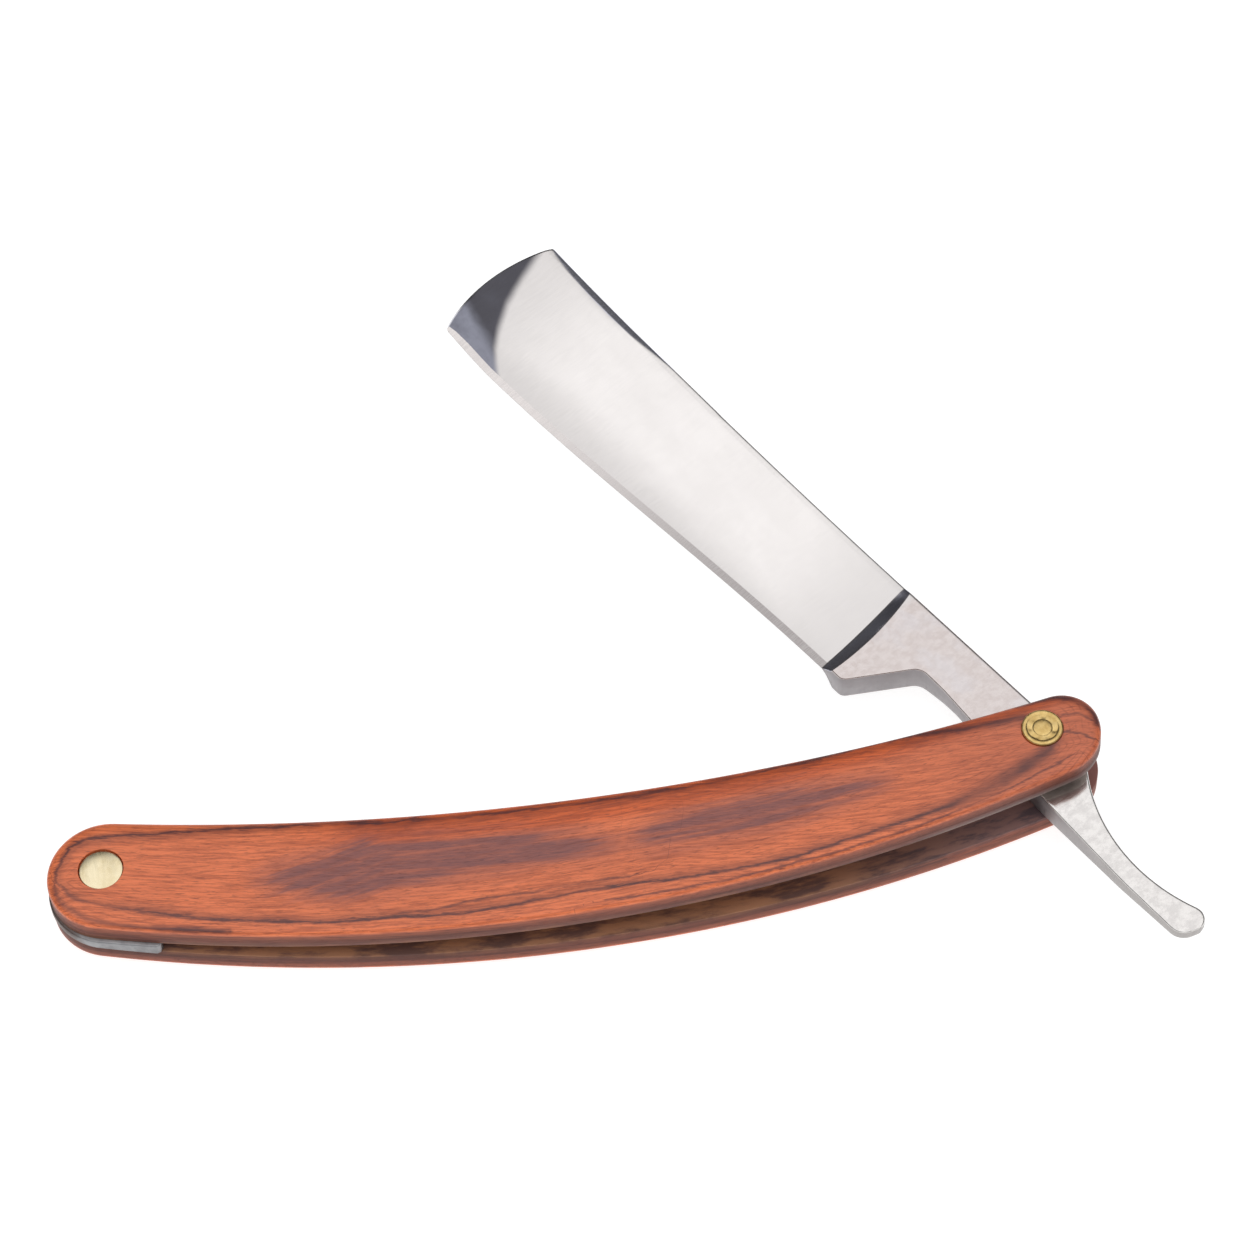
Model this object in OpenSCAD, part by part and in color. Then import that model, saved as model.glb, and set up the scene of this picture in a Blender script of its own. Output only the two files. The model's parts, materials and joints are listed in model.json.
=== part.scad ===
// Folding straight razor: two wooden scales on a wedge, and a forged steel blade that turns
// between them on a brass pin. Millimetres, +Z up along the pivot pin. The origin is where the
// pivot axis leaves the back scale's outer face, which is the face the razor lies on.
// X runs through both pins, from the wedge rivet (-X) to the pivot.

/* [Handle] */
// Distance between the wedge rivet and the pivot pin
pin_distance = 128; // [124:0.5:134]
// Thickness of each wooden scale
scale_t = 3.8; // [3.4:0.1:4.4]
// Radius that softens the outer rim of each scale
rim_r = 1.0; // [0.4:0.1:1.4]
// Radius of the hollow back, the side that the blade folds in from
back_arc_r = 341; // [320:1:380]
// Radius of the bellied front of the handle
belly_arc_r = 231; // [215:1:245]
// Depth of the belly below the line through the pins
belly_depth = 17.3; // [16.4:0.1:18.2]
// Gap between the scales at the wedge rivet
wedge_gap = 1.7; // [1.4:0.1:2.2]
// Gap between the scales at the pivot
pivot_gap = 6.4; // [6.2:0.1:6.6]

/* [Blade] */
// Angle of the blade from the closed direction in the stored pose
open_angle = 58.8; // [20:0.2:180]
// Reach of the blade from the pivot to the toe
blade_reach = 114.3; // [104:0.1:116]
// Distance from the pivot to the shoulder, where the hollow grind begins
shoulder_x = 31.5; // [30.5:0.1:33]
// Thickness of the tang
tang_t = 4.4; // [4:0.1:4.6]
// Thickness of the spine at the shoulder
spine_t = 4.0; // [3.4:0.1:4.2]
// Thickness of the spine at the toe
toe_t = 3.0; // [2.4:0.1:3.2]
// Width of the honed bevel along the cutting edge
bevel_w = 1.1; // [0.6:0.1:1.6]
// Thickness of the tip of the tail
tail_tip_t = 1.6; // [1.4:0.1:2.4]

/* [Pins] */
// Diameter of the pivot pin
pin_d = 2.4; // [2:0.1:2.8]
// Diameter of the collars on the pivot pin
collar_d = 5.7; // [5.4:0.1:6.4]
// Diameter of the flush heads of the wedge rivet
rivet_head_d = 6.0; // [5.4:0.1:6.4]
// Diameter of the inner thrust washers
washer_d = 7.0; // [6.4:0.1:7.4]

/* [Hidden] */
$fn = 64;

// Fits
fit_gap = 0.03;            // round parts seated in the scales
run_gap = 0.05;            // round parts that turn against each other
through = 40;              // longer than anything that it cuts

// Scales: tilt, heights and the circles that the outline is made of
scale_tilt = atan((pivot_gap - wedge_gap) / 2 / pin_distance);
mid_z = pivot_gap / 2 + scale_t / cos(scale_tilt);
back_apex_y = 0.3;         // how near the hollow back comes to the line through the pins
back_c = [-0.442 * pin_distance, back_apex_y + back_arc_r];
belly_c = [-0.517 * pin_distance, belly_arc_r - belly_depth];
end_x = -pin_distance + 0.75;
end_c = [end_x, end_y(-12, 12, 30)];
end_r = belly_arc_r - norm(end_c - belly_c);
nose_x = 2.9;
nose_h = arc_y(back_c, back_arc_r, nose_x) - arc_y(belly_c, belly_arc_r, nose_x);
nose_r = 0.415 * nose_h;   // tight curve of the nose, on the back side
chin_r = 0.571 * nose_h;   // easier curve of the nose, on the belly side
nose_c = [nose_x, back_c.y - sqrt(pow(back_arc_r + nose_r, 2) - pow(nose_x - back_c.x, 2))];
chin_c = circles_meet(nose_c, chin_r - nose_r, belly_c, belly_arc_r - chin_r);
rim_steps = 4;

// Wedge
wedge_end_x = -pin_distance + 7;
wedge_proud = 0.6;         // how far its rim stands out of the belly

// Collars, pin heads and washers
collar_t = 1.3;
collar_proud = 0.4;        // front collar, above the scale
collar_sunk = 0.45;        // back collar, below the scale, so that the razor lies flat
collar_rim_w = 0.5;
collar_rim_h = 0.25;
peen_d = 3.0;
peen_h = 0.3;
washer_seat = 0.1;         // spot face in each scale under its washer
front_face_z = 2 * mid_z;

// Wedge rivet
rivet_head_t = 1.2;
rivet_tube_d = 3.8;
rivet_shank_d = 2.4;

// Blade: edge and spine lines, in the blade's own frame (+X to the toe, +Y to the edge)
edge_mid_y = 14.85;
edge_swing = 1.75;
edge_mid_x = 63.5;
edge_quarter = 39.5;
spine_y = -3.5;
spine_rise = 1.35;
spine_low_x = 50;
spine_rise_len = 62;
toe_r = 22;
toe_c = [blade_reach - toe_r, 5];
toe_fall = 0.84;           // how far the edge has fallen away by the toe
toe_fall_run = 13.3;       // over this last stretch
toe_fall_power = 1.3;
toe_corner_r = 1;
toe_corner_back = 3.8;     // the corner lies this far short of the blade's reach
toe_corner_y = edge_y(blade_reach - toe_corner_back) + 0.05 - toe_corner_r;
toe_corner = [toe_c.x + sqrt(pow(toe_r - toe_corner_r, 2) - pow(toe_corner_y - toe_c.y, 2)), toe_corner_y];
spine_land = 3.0;          // width of the spine before the hollow begins
bevel_half_t = 0.22;
edge_half_t = 0.04;
shoulder_w = 1.6;          // width of the cove between the tang and the hollow
shoulder_slant = 0.12;     // the cove leans back towards the heel
hollow_steps = 6;
tail_arc_r = 26;           // hollow under the finger, on the spine side of the tail
tail_arc_c = [-21.8, -23.6];
tail_end = -34.9;
tail_taper_x = -4;         // the tang is flat under the washers, then thins
tail_taper_power = 1.25;
heel_y = 13.3;

// ---------------------------------------------------------------- functions

// Where circle c0, r0 meets circle c1, r1, on the left of the way from c0 to c1
function circles_meet(c0, r0, c1, r1) =
    let (d = norm(c1 - c0), u = (c1 - c0) / d,
         a = (d * d + r0 * r0 - r1 * r1) / (2 * d), h = sqrt(max(0, r0 * r0 - a * a)))
    c0 + a * u + h * [-u.y, u.x];

// Height of the lower half of a circle at x
function arc_y(c, r, x) = c.y - sqrt(r * r - pow(x - c.x, 2));

// Height of the circle at end_x that touches both the back and the belly, by halving
function end_y(low, high, n) = let (y = (low + high) / 2, e = [end_x, y])
    n == 0 ? y
    : norm(e - belly_c) + norm(e - back_c) > belly_arc_r + back_arc_r ? end_y(y, high, n - 1)
    : end_y(low, y, n - 1);

function heading(from, to) = atan2(to.y - from.y, to.x - from.x);

// Points of an arc, without its last one
function arc(c, r, a0, a1, n) =
    [for (i = [0:n - 1]) let (a = a0 + (a1 - a0) * i / n) c + r * [cos(a), sin(a)]];

// Outline of a scale, moved inwards by e, counter-clockwise from the tip of the nose. The two long
// sides have the same number of points, so that a cap can be laid across them in strips.
function scale_outline(e) =
    let (to_end = heading(back_c, end_c), to_nose = heading(back_c, nose_c),
         from_belly = heading(belly_c, end_c), to_chin = heading(belly_c, chin_c),
         chin_top = heading(chin_c, nose_c))
    concat(arc(nose_c, nose_r - e, chin_top, to_nose + 180, 10),
           arc(back_c, back_arc_r + e, to_nose, to_end, 26),
           arc(end_c, end_r - e, to_end + 180, from_belly + 360, 20),
           arc(belly_c, belly_arc_r - e, from_belly, to_chin, 26),
           arc(chin_c, chin_r - e, to_chin, chin_top, 10));

// Corners [x, y, r] made into a polygon with round corners
function rounded(p) = [for (i = [0:len(p) - 1])
    let (a = xy(p[(i + len(p) - 1) % len(p)]), b = xy(p[i]), c = xy(p[(i + 1) % len(p)]))
    each corner(b, (a - b) / norm(a - b), (c - b) / norm(c - b), p[i][2])];
function xy(v) = [v[0], v[1]];
function corner(b, u, v, r) = r <= 0 ? [b] :
    let (half = acos(u * v) / 2, back = r / tan(half), c = b + (u + v) / norm(u + v) * r / sin(half),
         a0 = heading(c, b + u * back), turn = heading(c, b + v * back) - a0,
         sweep = turn > 180 ? turn - 360 : turn < -180 ? turn + 360 : turn, n = ceil(abs(sweep) / 12) + 1)
    [for (i = [0:n]) c + r * [cos(a0 + sweep * i / n), sin(a0 + sweep * i / n)]];

// Edge and spine of the blade at x, from the pivot
function edge_y(x) = edge_mid_y + edge_swing * sin(90 * max(-1, min(1, (x - edge_mid_x) / edge_quarter)))
    - toe_fall * pow(max(0, 1 - (blade_reach - x) / toe_fall_run), toe_fall_power);
function spine_line(x) = spine_y - spine_rise * pow((x - spine_low_x) / spine_rise_len, 2);
function spine_half(x) = (spine_t + (toe_t - spine_t) * (x - shoulder_x) / (blade_reach - shoulder_x)) / 2;

// Upper half of the blade's section at x: [distance from the spine, half thickness]
function half_section(x) =
    let (h = spine_half(x), w = edge_y(x) - spine_line(x), run = w - bevel_w - spine_land)
    concat([[0, 0.35 * h], [0.4, 0.78 * h], [1.2, h]],
           [for (i = [0:hollow_steps]) let (q = i / hollow_steps)
               [spine_land + q * run, bevel_half_t + (h - bevel_half_t) * pow(1 - q, 2)]],
           [[w, edge_half_t]]);

// Closed ring of points at x; full says how much of the tang's full thickness is left, 0 to 1
function ring(x, full, lean) =
    let (s = half_section(x), y0 = spine_line(x), m = len(s),
         z = [for (p = s) p[1] + (tang_t / 2 - 0.05 - p[1]) * full])
    concat([for (i = [0:m - 1]) [x - lean * (y0 + s[i][0]), y0 + s[i][0], -z[i]]],
           [for (i = [m - 1:-1:0]) [x - lean * (y0 + s[i][0]), y0 + s[i][0], z[i]]]);

// ---------------------------------------------------------------- shapes

// Solid from rings of points, each counter-clockwise as the next ring sees it. Point i of a ring
// lies across from point n - 1 - i, and the caps are strips between such pairs.
module loft(rings) {
    n = len(rings[0]);
    last = len(rings) - 1;
    polyhedron(
        points = [for (r = rings) each r],
        faces = concat([for (j = [0:n / 2 - 2]) [j, j + 1, n - 2 - j, n - 1 - j]],
                       [for (k = [0:last - 1]) for (j = [0:n - 1])
                           [k * n + j, (k + 1) * n + j, (k + 1) * n + (j + 1) % n, k * n + (j + 1) % n]],
                       [for (j = [0:n / 2 - 2]) [for (k = [n - 1 - j, n - 2 - j, j + 1, j]) last * n + k]]),
        convexity = 6);
}

function raised(outline, z) = [for (p = outline) [p.x, p.y, z]];

// A scale with its inner face on z = 0 and its rounded outer rim up
module scale_slab() {
    rim = [for (i = [0:rim_steps]) let (a = 90 * i / rim_steps)
        raised(scale_outline(rim_r * (1 - cos(a))), scale_t - rim_r + rim_r * sin(a))];
    loft(concat([raised(scale_outline(0), 0)], rim));
}

// Puts something that stands on the front scale's inner face where that face is
module on_front() { translate([0, 0, mid_z + pivot_gap / 2]) rotate([0, -scale_tilt, 0]) children(); }
module on_back() {
    translate([0, 0, mid_z]) mirror([0, 0, 1]) translate([0, 0, -mid_z]) on_front() children();
}

// Everything that is bored out of a scale, for the front one
module scale_bores(collar_floor) {
    top = front_face_z + 10;
    cylinder(d = pin_d + 2 * fit_gap, h = through);
    translate([0, 0, collar_floor]) cylinder(d = collar_d + 2 * fit_gap, h = top - collar_floor);
    washer_floor = mid_z + pivot_gap / 2 + washer_seat;
    translate([0, 0, mid_z]) cylinder(d = washer_d + 2 * fit_gap, h = washer_floor - mid_z);
    translate([-pin_distance, 0, 0]) {
        cylinder(d = rivet_tube_d + 2 * fit_gap, h = through);
        translate([0, 0, rivet_head_z()]) cylinder(d = rivet_head_d + 2 * fit_gap, h = through);
    }
}

// Height of the seat under the front rivet head
function rivet_head_z() = mid_z + wedge_gap / 2 + scale_t - rivet_head_t;
function front_collar_floor() = front_face_z + collar_proud - collar_t;
function back_collar_floor() = front_face_z - collar_sunk - collar_t;

module front_scale() {
    color("sienna") difference() {
        on_front() scale_slab();
        scale_bores(front_collar_floor());
    }
}

module back_scale() {
    color("sienna") difference() {
        on_back() scale_slab();
        translate([0, 0, mid_z]) mirror([0, 0, 1]) translate([0, 0, -mid_z]) scale_bores(back_collar_floor());
    }
}

// Grey metal wedge that sets the scales' gap and taper
module wedge() {
    color("darkgray") difference() {
        intersection() {
            linear_extrude(through) wedge_plan();
            translate([0, through, mid_z]) rotate([90, 0, 0]) linear_extrude(2 * through) wedge_side();
        }
        translate([-pin_distance, 0, 0]) cylinder(d = rivet_tube_d + 2 * fit_gap, h = through);
    }
}

// Proud of the scales round the belly and the end, flush with their hollow back
module wedge_plan() {
    difference() {
        polygon(scale_outline(-wedge_proud));
        translate(back_c) circle(r = back_arc_r, $fn = 720);
        translate([wedge_end_x, -50]) square([200, 100]);
    }
}

// The taper between the scales' inner faces
module wedge_side() {
    ends = [-pin_distance - 12, wedge_end_x + 10];
    half = [for (x = ends) pivot_gap / 2 + x * tan(scale_tilt)];
    polygon([[ends[0], -half[0]], [ends[1], -half[1]], [ends[1], half[1]], [ends[0], half[0]]]);
}

// One forged piece: tail, tang with the pivot bore, shoulder and hollow-ground blade
module blade() {
    color("gainsboro") translate([0, 0, mid_z]) rotate([0, 0, 180 - open_angle]) difference() {
        union() {
            tang();
            intersection() {
                hollow_blade();
                translate([0, 0, -5]) linear_extrude(10) toe_plan();
            }
        }
        translate([0, 0, -5]) cylinder(d = pin_d + 2 * run_gap, h = 10);
    }
}

module hollow_blade() {
    start = shoulder_x - shoulder_w;
    cove = [for (c = [[0, 1], [0.25, 0.55], [0.5, 0.25], [0.75, 0.07], [1, 0]])
        ring(start + c[0] * shoulder_w, c[1], shoulder_slant)];
    far = blade_reach + 1;
    rest = [for (q = [0.08:0.115:1.01])
        ring(shoulder_x + q * (far - shoulder_x), 0, shoulder_slant * max(0, 1 - q / 0.2))];
    loft(concat([ring(start - 0.8, 1, shoulder_slant)], cove, rest));
}

// What the blade may cover, seen from above: its round toe, with a softened corner at the edge
module toe_plan() {
    blend = heading(toe_c, toe_corner);
    spine_end = -26.2;
    polygon(concat([[10, -20]], arc(toe_c, toe_r, spine_end, blend, 16),
                   arc(toe_corner, toe_corner_r, blend, 90, 8), [[toe_corner.x, 30], [10, 30]]));
}

module tang() {
    intersection() {
        translate([0, 0, -tang_t / 2]) linear_extrude(tang_t) tang_plan();
        rotate([90, 0, 0]) translate([0, 0, -through]) linear_extrude(2 * through) tang_side();
    }
}

// Corners are [x, y, radius], from the shoulder round the tail and back
module tang_plan() {
    start = shoulder_x - shoulder_w;
    spine_side = -3.5;
    tail_arc = [for (x = [-5.6:-2.6:-31.6])
        [x, tail_arc_c.y + sqrt(pow(tail_arc_r, 2) - pow(x - tail_arc_c.x, 2)), 0]];
    polygon(rounded(concat(
        [[start - shoulder_slant * spine_side, spine_side, 0], [6, -4.05, 20], [-3.9, -4.35, 4]],
        tail_arc,
        [[tail_end, -0.35, 1.9], [tail_end + 1.7, 5.3, 2.4], [-22, 5.52, 40], [-8, 5.2, 30],
         [8, 4.35, 30], [15.5, 3.8, 14], [20.45, 3.75, 2.3], [26.1, heel_y, 1.3],
         [start - shoulder_slant * heel_y, heel_y, 0]])));
}

// Side view of the tang: full thickness, thinning to the tip of the tail
module tang_side() {
    steps = 8;
    run = tail_end - tail_taper_x;
    taper = [for (i = [0:steps]) let (q = i / steps)
        [tail_taper_x + q * run, (tail_tip_t + (tang_t - tail_tip_t) * pow(1 - q, tail_taper_power)) / 2]];
    half = concat([[60, tang_t]], [[tail_taper_x, tang_t]], taper, [[tail_end - 5, tail_tip_t / 2]]);
    polygon(concat(half, [for (i = [len(half) - 1:-1:0]) [half[i].x, -half[i].y]]));
}

// Rod through scales, washers and tang, peened over both collars
module pivot_pin() {
    low = collar_sunk + collar_rim_h;
    high = front_face_z + collar_proud - collar_rim_h;
    color("goldenrod") {
        translate([0, 0, low]) cylinder(d = pin_d, h = high - low);
        translate([0, 0, high]) peen();
        translate([0, 0, low]) mirror([0, 0, 1]) peen();
    }
}

// Low dome of a peened pin end
module peen() {
    r = (pow(peen_d / 2, 2) + peen_h * peen_h) / (2 * peen_h);
    rotate_extrude() intersection() {
        translate([0, peen_h - r]) circle(r = r, $fn = 180);
        square([peen_d / 2, peen_h]);
    }
}

// Round collar with a raised rim, standing on z = 0
module collar() {
    r = collar_d / 2;
    bore = pin_d / 2 + fit_gap;
    rotate_extrude() polygon([[bore, 0], [r, 0], [r, collar_t - 0.15], [r - 0.15, collar_t],
        [r - collar_rim_w, collar_t], [r - collar_rim_w - 0.15, collar_t - collar_rim_h],
        [bore, collar_t - collar_rim_h]]);
}

module front_pivot_collar() {
    color("goldenrod") translate([0, 0, front_collar_floor()]) collar();
}

module back_pivot_collar() {
    color("goldenrod") translate([0, 0, 2 * mid_z - back_collar_floor()]) mirror([0, 0, 1]) collar();
}

module thrust_washer() {
    t = pivot_gap / 2 + washer_seat - tang_t / 2 - run_gap;
    translate([0, 0, tang_t / 2 + run_gap]) difference() {
        cylinder(d = washer_d, h = t);
        translate([0, 0, -1]) cylinder(d = pin_d + 2 * fit_gap, h = t + 2);
    }
}

module front_thrust_washer() {
    color("goldenrod") translate([0, 0, mid_z]) thrust_washer();
}

module back_thrust_washer() {
    color("goldenrod") translate([0, 0, mid_z]) mirror([0, 0, 1]) thrust_washer();
}

// Space under the front scale's outer face, so that a rivet head ends flush with it
module under_front_face() {
    on_front() translate([-200, -50, scale_t - 60]) cube([300, 100, 60]);
}

module wedge_rivet_front() {
    z0 = rivet_head_z();
    color("palegoldenrod") intersection() {
        under_front_face();
        translate([-pin_distance, 0, 0]) union() {
            translate([0, 0, z0]) cylinder(d = rivet_head_d, h = 5);
            translate([0, 0, mid_z - 2]) cylinder(d = rivet_shank_d, h = z0 - mid_z + 3);
        }
    }
}

module wedge_rivet_back() {
    z0 = rivet_head_z();
    color("palegoldenrod") translate([0, 0, mid_z]) mirror([0, 0, 1]) translate([0, 0, -mid_z]) difference() {
        intersection() {
            under_front_face();
            translate([-pin_distance, 0, 0]) union() {
                translate([0, 0, z0]) cylinder(d = rivet_head_d, h = 5);
                translate([0, 0, 2 * mid_z - z0 + 0.1]) cylinder(d = rivet_tube_d, h = 2 * (z0 - mid_z));
            }
        }
        translate([-pin_distance, 0, 0]) cylinder(d = rivet_shank_d + 2 * fit_gap, h = mid_z + 2.2);
    }
}

front_scale();
back_scale();
wedge();
blade();
pivot_pin();
front_pivot_collar();
back_pivot_collar();
front_thrust_washer();
back_thrust_washer();
wedge_rivet_front();
wedge_rivet_back();
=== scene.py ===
"""Folding straight razor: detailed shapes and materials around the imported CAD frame.

Lengths are in millimetres until a mesh is made, and MM turns them into metres. The handle lies along -x
from the pivot, which is at x = y = 0. The blade has its own frame: u runs from the pivot to the toe, n
towards the cutting edge, z up from the mid plane.
"""
import json
import math
import random

import bpy
import numpy as np
from mathutils import Matrix, Vector


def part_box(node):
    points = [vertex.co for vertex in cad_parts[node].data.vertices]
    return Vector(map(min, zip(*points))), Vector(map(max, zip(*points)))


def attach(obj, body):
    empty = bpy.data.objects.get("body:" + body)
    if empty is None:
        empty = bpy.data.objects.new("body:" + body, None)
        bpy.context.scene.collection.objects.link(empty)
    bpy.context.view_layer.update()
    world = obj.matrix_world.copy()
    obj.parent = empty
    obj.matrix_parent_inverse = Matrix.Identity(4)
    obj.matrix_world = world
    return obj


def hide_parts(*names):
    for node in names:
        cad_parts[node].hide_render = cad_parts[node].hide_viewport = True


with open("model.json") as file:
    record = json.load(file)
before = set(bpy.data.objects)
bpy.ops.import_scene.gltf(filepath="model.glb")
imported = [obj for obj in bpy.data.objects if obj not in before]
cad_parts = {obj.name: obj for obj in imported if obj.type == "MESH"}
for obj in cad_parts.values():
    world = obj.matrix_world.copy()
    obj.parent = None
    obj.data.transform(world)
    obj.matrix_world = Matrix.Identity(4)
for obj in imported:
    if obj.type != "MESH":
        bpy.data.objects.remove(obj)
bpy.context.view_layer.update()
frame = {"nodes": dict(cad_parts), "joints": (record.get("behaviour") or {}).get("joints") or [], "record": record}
MM = 0.001

# === sizes

# given by the frame
pivot = Vector(frame["joints"][0]["pos_m"]) / MM
head_low, head_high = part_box("wedge_rivet_front")
PIN_DISTANCE = -(head_low.x + head_high.x) / 2 / MM
REST_AXIS = Vector(frame["record"]["mounts"][0]["axis"]).normalized()
MID_Z = pivot.z
TILT = math.atan2(-REST_AXIS.x, -REST_AXIS.z)

# as in part.scad
HALF_GAP = 3.2  # half the gap between the scales, at the pivot
SCALE_T = 3.8  # thickness of a scale
OPEN_ANGLE = 58.8  # between the handle and the blade, in degrees
COLLAR_R, RIVET_R = 2.85, 3.0
COLLAR_PLAY, RIVET_PLAY = 0.04, 0.09  # how much wider their seats are
RIVET_SEAT = 0.9  # how deep the rivet's seats are


# === plane geometry

def circles_meet(c0, r0, c1, r1):
    """Where two circles meet, on the left of the way from c0 to c1."""
    d = np.linalg.norm(c1 - c0)
    u = (c1 - c0) / d
    a = (d * d + r0 * r0 - r1 * r1) / (2 * d)
    h = math.sqrt(max(0, r0 * r0 - a * a))
    return c0 + a * u + h * np.array([-u[1], u[0]])


def heading(a, b):
    """Direction from a to b, in degrees."""
    return math.degrees(math.atan2(b[1] - a[1], b[0] - a[0]))


def arc(c, r, a0, a1, count, last=False):
    """Points round c from a0 to a1 degrees in count steps, the last one only if asked for."""
    t = np.radians(np.linspace(a0, a1, count + 1))
    p = np.c_[c[0] + r * np.cos(t), c[1] + r * np.sin(t)]
    return p if last else p[:-1]


def rounded(corners, step=9):
    """A chain of [x, y, radius] corners with their arcs put in. A corner of radius 0 stays a point."""
    out = []
    for i, (x, y, r) in enumerate(corners):
        b = np.array([x, y])
        if r <= 0:
            out.append(b)
            continue
        a, c = np.array(corners[i - 1][:2]), np.array(corners[i + 1][:2])
        u = (a - b) / np.linalg.norm(a - b)
        v = (c - b) / np.linalg.norm(c - b)
        half = math.acos(np.clip(u @ v, -1, 1)) / 2
        centre = b + (u + v) / np.linalg.norm(u + v) * r / math.sin(half)
        back = r / math.tan(half)
        a0 = heading(centre, b + u * back)
        sweep = (heading(centre, b + v * back) - a0 + 180) % 360 - 180
        out += list(arc(centre, r, a0, a0 + sweep, int(abs(sweep) / step) + 2, last=True))
    return np.array(out)


# The outline of the handle: hollow back, round end, belly, chin and nose, all of them arcs
BACK_R, BELLY_R = 341.0, 231.0
BACK_Y, BELLY_Y = 0.3, -17.3  # y of the lowest point of each
BACK_MID, BELLY_MID = 0.442, 0.517  # where that point lies, as a share of the way to the rivet
BACK_C = np.array([-BACK_MID * PIN_DISTANCE, BACK_Y + BACK_R])
BELLY_C = np.array([-BELLY_MID * PIN_DISTANCE, BELLY_Y + BELLY_R])
END_X, NOSE_X = 0.75 - PIN_DISTANCE, 2.9  # centres of the round end and of the nose
NOSE_SHARE, CHIN_SHARE = 0.415, 0.571  # their radii, as shares of the depth at the nose


def arc_y(c, r, x):
    """y of the lower half of a circle, at x."""
    return c[1] - np.sqrt(r * r - (x - c[0]) ** 2)


def end_centre():
    """Centre of the round end, found by halving: its arc touches the back and the belly."""
    low, high = -12.0, 12.0
    for _ in range(40):
        mid = (low + high) / 2
        e = np.array([END_X, mid])
        if np.linalg.norm(e - BELLY_C) + np.linalg.norm(e - BACK_C) > BACK_R + BELLY_R:
            low = mid
        else:
            high = mid
    return np.array([END_X, low])


END_C = end_centre()
END_R = BELLY_R - np.linalg.norm(END_C - BELLY_C)
NOSE_H = arc_y(BACK_C, BACK_R, NOSE_X) - arc_y(BELLY_C, BELLY_R, NOSE_X)
NOSE_R, CHIN_R = NOSE_SHARE * NOSE_H, CHIN_SHARE * NOSE_H
NOSE_C = np.array([NOSE_X, BACK_C[1] - math.sqrt((BACK_R + NOSE_R) ** 2 - (NOSE_X - BACK_C[0]) ** 2)])
CHIN_C = circles_meet(NOSE_C, CHIN_R - NOSE_R, BELLY_C, BELLY_R - CHIN_R)
LONG_STEPS, END_STEPS, NOSE_STEPS = 110, 44, 22


def handle_outline(e):
    """The outline moved inwards by e, counter-clockwise from the tip of the nose."""
    to_end, to_nose = heading(BACK_C, END_C), heading(BACK_C, NOSE_C)
    from_belly, to_chin = heading(BELLY_C, END_C), heading(BELLY_C, CHIN_C)
    top = heading(CHIN_C, NOSE_C)
    return np.vstack([
        arc(NOSE_C, NOSE_R - e, top, to_nose + 180, NOSE_STEPS),
        arc(BACK_C, BACK_R + e, to_nose, to_end, LONG_STEPS),
        arc(END_C, END_R - e, to_end + 180, from_belly + 360, END_STEPS),
        arc(BELLY_C, BELLY_R - e, from_belly, to_chin, LONG_STEPS),
        arc(CHIN_C, CHIN_R - e, to_chin, top, NOSE_STEPS)])


# Figure of the wood as [along, across] points: growth lines, the first a closed loop, and two closed
# patches of heartwood
GRAIN_LOOP = [
    [-134, -1], [-133.2, 1.6], [-131.3, 4.1], [-128.8, 5.3], [-125, 6.0], [-120, 6.6], [-112, 7.3],
     [-105, 7.8], [-98, 8.0], [-88, 7.8], [-70, 7.6], [-50, 7.3], [-35, 7.2], [-22, 7.1], [-15, 6.2],
     [-10, 5.3], [-5, 4.5], [-2, 4.0], [1.2, 1.5], [0.4, -1.8], [-1.5, -2.7], [-4.5, -3.7], [-7, -4.4],
     [-10, -5.1], [-18, -5.8], [-28, -6.3], [-38, -6.9], [-46, -6.9], [-60, -6.1], [-70, -6.6], [-80, -7.2],
     [-90, -7.1], [-100, -7.35], [-110, -7.0], [-118, -6.3], [-124, -5.75], [-130, -4.9], [-132.6, -3.7]]
GRAIN_BROAD = [
    [[-134.3, -2.4], [-133.6, -5.0], [-131.3, -7.0], [-128, -8.0], [-124, -8.45], [-112, -8.7]],
    [[-2.5, 6.1], [1.0, 5.7], [3.6, 4.8], [5.7, 3.4], [7.0, 1.6], [7.5, -0.6]]]
GRAIN_THIN = [
    [[-58, -4.9], [-66, -4.9], [-73, -5.4], [-78, -5.6], [-86, -6.5], [-93, -7.0]],
    [[-62, -8.1], [-45, -8.2], [-30, -7.8], [-20, -7.2], [-10, -6.4], [-3, -5.5], [2, -4.5]],
    [[6.6, -2.9], [4.4, -1.2], [2.4, -0.3]],
    [[3.2, 2.2], [5.4, 1.4], [7.2, -0.2]]]
GRAIN_HEART = [
    [[-107, -1.0], [-106, -1.8], [-101, -2.9], [-95, -3.6], [-90, -2.4], [-84, -1.8], [-79, -1.3],
     [-73, -1.3], [-68, -0.9], [-62, -0.5], [-59, 0.2], [-62, 1.6], [-67.6, 2.9], [-73, 4.3], [-78.7, 4.1],
     [-84.3, 4.7], [-89.8, 4.4], [-92.6, 5.6], [-95, 4.6], [-99.3, 2.6], [-103.7, 1.3]],
    [[-57.5, 0.4], [-55, -0.8], [-49.6, -1.1], [-44, -1.2], [-38.5, -1.4], [-33, -0.7], [-28.5, 0.0],
     [-24, 0.4], [-22.4, 1.3], [-27.4, 2.8], [-33, 3.4], [-38.5, 3.7], [-44, 3.7], [-49.6, 3.2],
     [-55, 1.9]]]


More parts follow.
